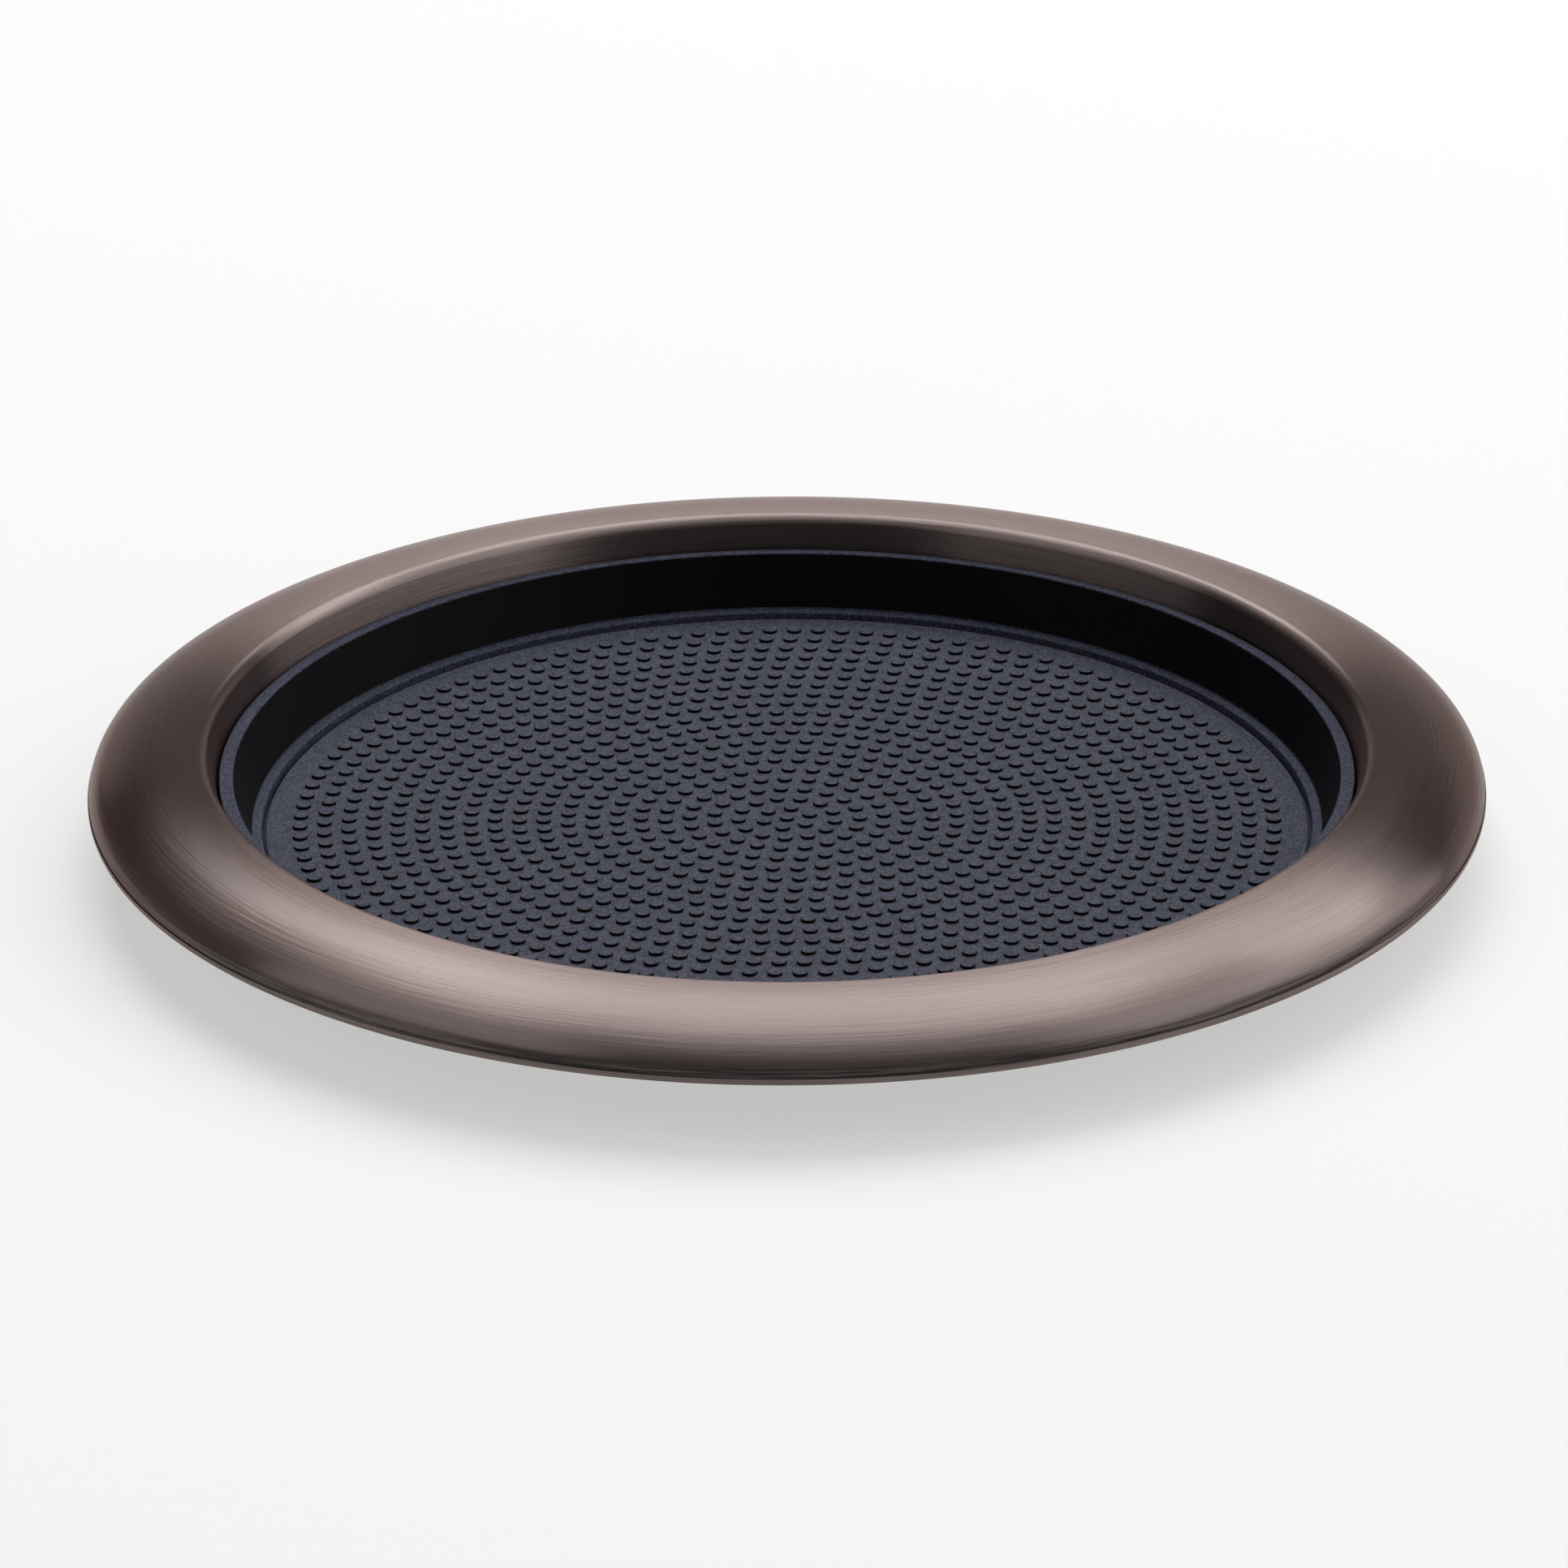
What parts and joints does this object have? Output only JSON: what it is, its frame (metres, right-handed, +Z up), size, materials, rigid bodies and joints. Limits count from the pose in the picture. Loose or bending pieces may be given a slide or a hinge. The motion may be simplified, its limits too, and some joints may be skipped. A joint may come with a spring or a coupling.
{
  "type": "round serving tray",
  "caption": "Round serving tray with a wide domed hollow metal rim and a deep black lift-out insert whose floor is a non-slip grip mat.",
  "frame": {"origin": "centre of the flat ring that the tray stands on, at the height of that ring", "axes": "+Z up along the tray's axis; +X to the right and +Y away from the viewer of the picture"},
  "size_m": [0.3556, 0.3556, 0.0303],
  "materials": {
    "rim_metal": "brushed round the tray, bronze-taupe coating",
    "base_metal": "plain satin underside, same coating",
    "insert_moulding": "matte speckled black moulding",
    "mat_rubber": "matte speckled black rubber with raised dots"
  },
  "bodies": {
    "tray": {"rim_shell": "rim_metal", "base_shell": "base_metal"},
    "insert": {"insert_dish": "insert_moulding", "grip_mat": "mat_rubber"}
  },
  "joints": [
    {"name": "insert_lift", "type": "slide", "parent": "tray", "child": "insert", "axis": [0, 0, 1], "range_m": [0, 0.05]}
  ]
}
